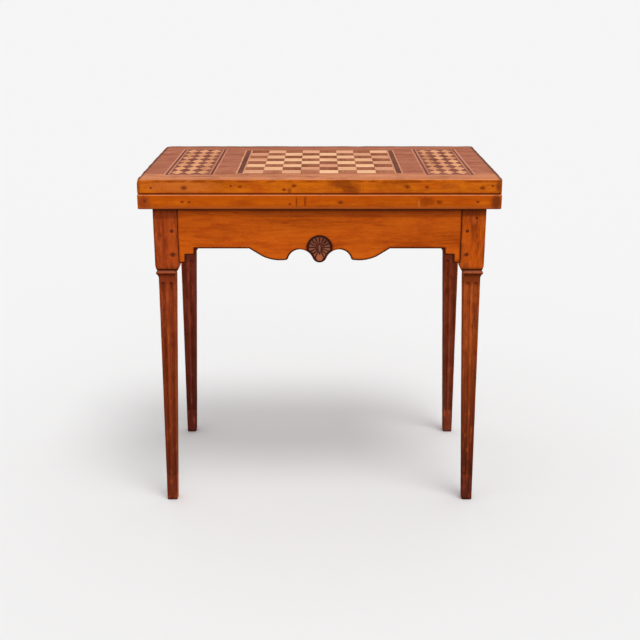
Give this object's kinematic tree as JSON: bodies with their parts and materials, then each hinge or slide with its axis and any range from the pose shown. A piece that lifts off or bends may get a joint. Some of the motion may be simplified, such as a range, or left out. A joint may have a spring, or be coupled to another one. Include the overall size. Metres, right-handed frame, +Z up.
{
  "type": "games table",
  "caption": "Fold-over games table: hinged leaf inlaid with a chessboard and lozenge panels, shaped apron with a carved rosette, fluted tapering legs and a swinging gate leg.",
  "frame": {"origin": "on the floor under the middle of the folded leaves", "axes": "+Z up, +Y towards the back where the leaf is hinged, +X to the right seen from the front"},
  "size_m": [0.76, 0.472, 0.75],
  "materials": {
    "fruitwood": "waxed fruitwood, orange brown",
    "secondary_wood": "plain unpolished softwood",
    "peg_wood": "dark end grain",
    "light_inlay": "pale inlaid wood",
    "dark_inlay": "reddish brown inlaid wood",
    "dark_band": "very dark hatched banding",
    "carved_wood": "dark carved wood",
    "green_baize": "woollen baize",
    "brass": "aged brass",
    "steel": "plain steel",
    "iron": "dark forged iron"
  },
  "bodies": {
    "frame": {"lower_leaf": "fruitwood", "lower_leaf_pegs": "peg_wood", "lower_playing_cloth": "green_baize", "front_left_leg": "fruitwood", "front_right_leg": "fruitwood", "rear_right_leg": "fruitwood", "front_apron": "fruitwood", "left_apron": "fruitwood", "right_apron": "fruitwood", "carved_rosette": "carved_wood", "inner_back_rail": "secondary_wood", "fixed_knuckle_rail": "fruitwood", "fixed_rail_pegs": "peg_wood", "fixed_rail_screws": "iron", "gate_pin": "iron", "front_apron_pegs": "peg_wood", "side_apron_pegs": "peg_wood", "glue_blocks": "secondary_wood", "leaf_screws": "iron", "left_hinge_lower_plate": "brass", "right_hinge_lower_plate": "brass", "left_hinge_pin": "steel", "right_hinge_pin": "steel", "lower_hinge_screws": "brass"},
    "upper_leaf": {"upper_leaf": "fruitwood", "upper_leaf_pegs": "peg_wood", "upper_playing_cloth": "green_baize", "chess_light_squares": "light_inlay", "chess_dark_squares": "dark_inlay", "chess_dark_bands": "dark_band", "chess_light_stringing": "light_inlay", "left_panel_light_lozenges": "light_inlay", "left_panel_dark_lozenges": "dark_inlay", "right_panel_light_lozenges": "light_inlay", "right_panel_dark_lozenges": "dark_inlay", "panel_light_stringing": "light_inlay", "panel_dark_stringing": "dark_band", "left_hinge_upper_plate": "brass", "right_hinge_upper_plate": "brass", "upper_hinge_screws": "brass"},
    "gate": {"gate_leg": "fruitwood", "fly_rail": "fruitwood", "gate_pegs": "peg_wood"}
  },
  "joints": [
    {"name": "leaf_fold", "type": "hinge", "parent": "frame", "child": "upper_leaf", "pos_m": [0, 0.2345, 0.7185], "axis": [-1, 0, 0], "range_deg": [0, 180]},
    {"name": "gate_swing", "type": "hinge", "parent": "frame", "child": "gate", "pos_m": [-0.03, 0.167, 0.63], "axis": [0, 0, -1], "range_deg": [0, 90]}
  ]
}
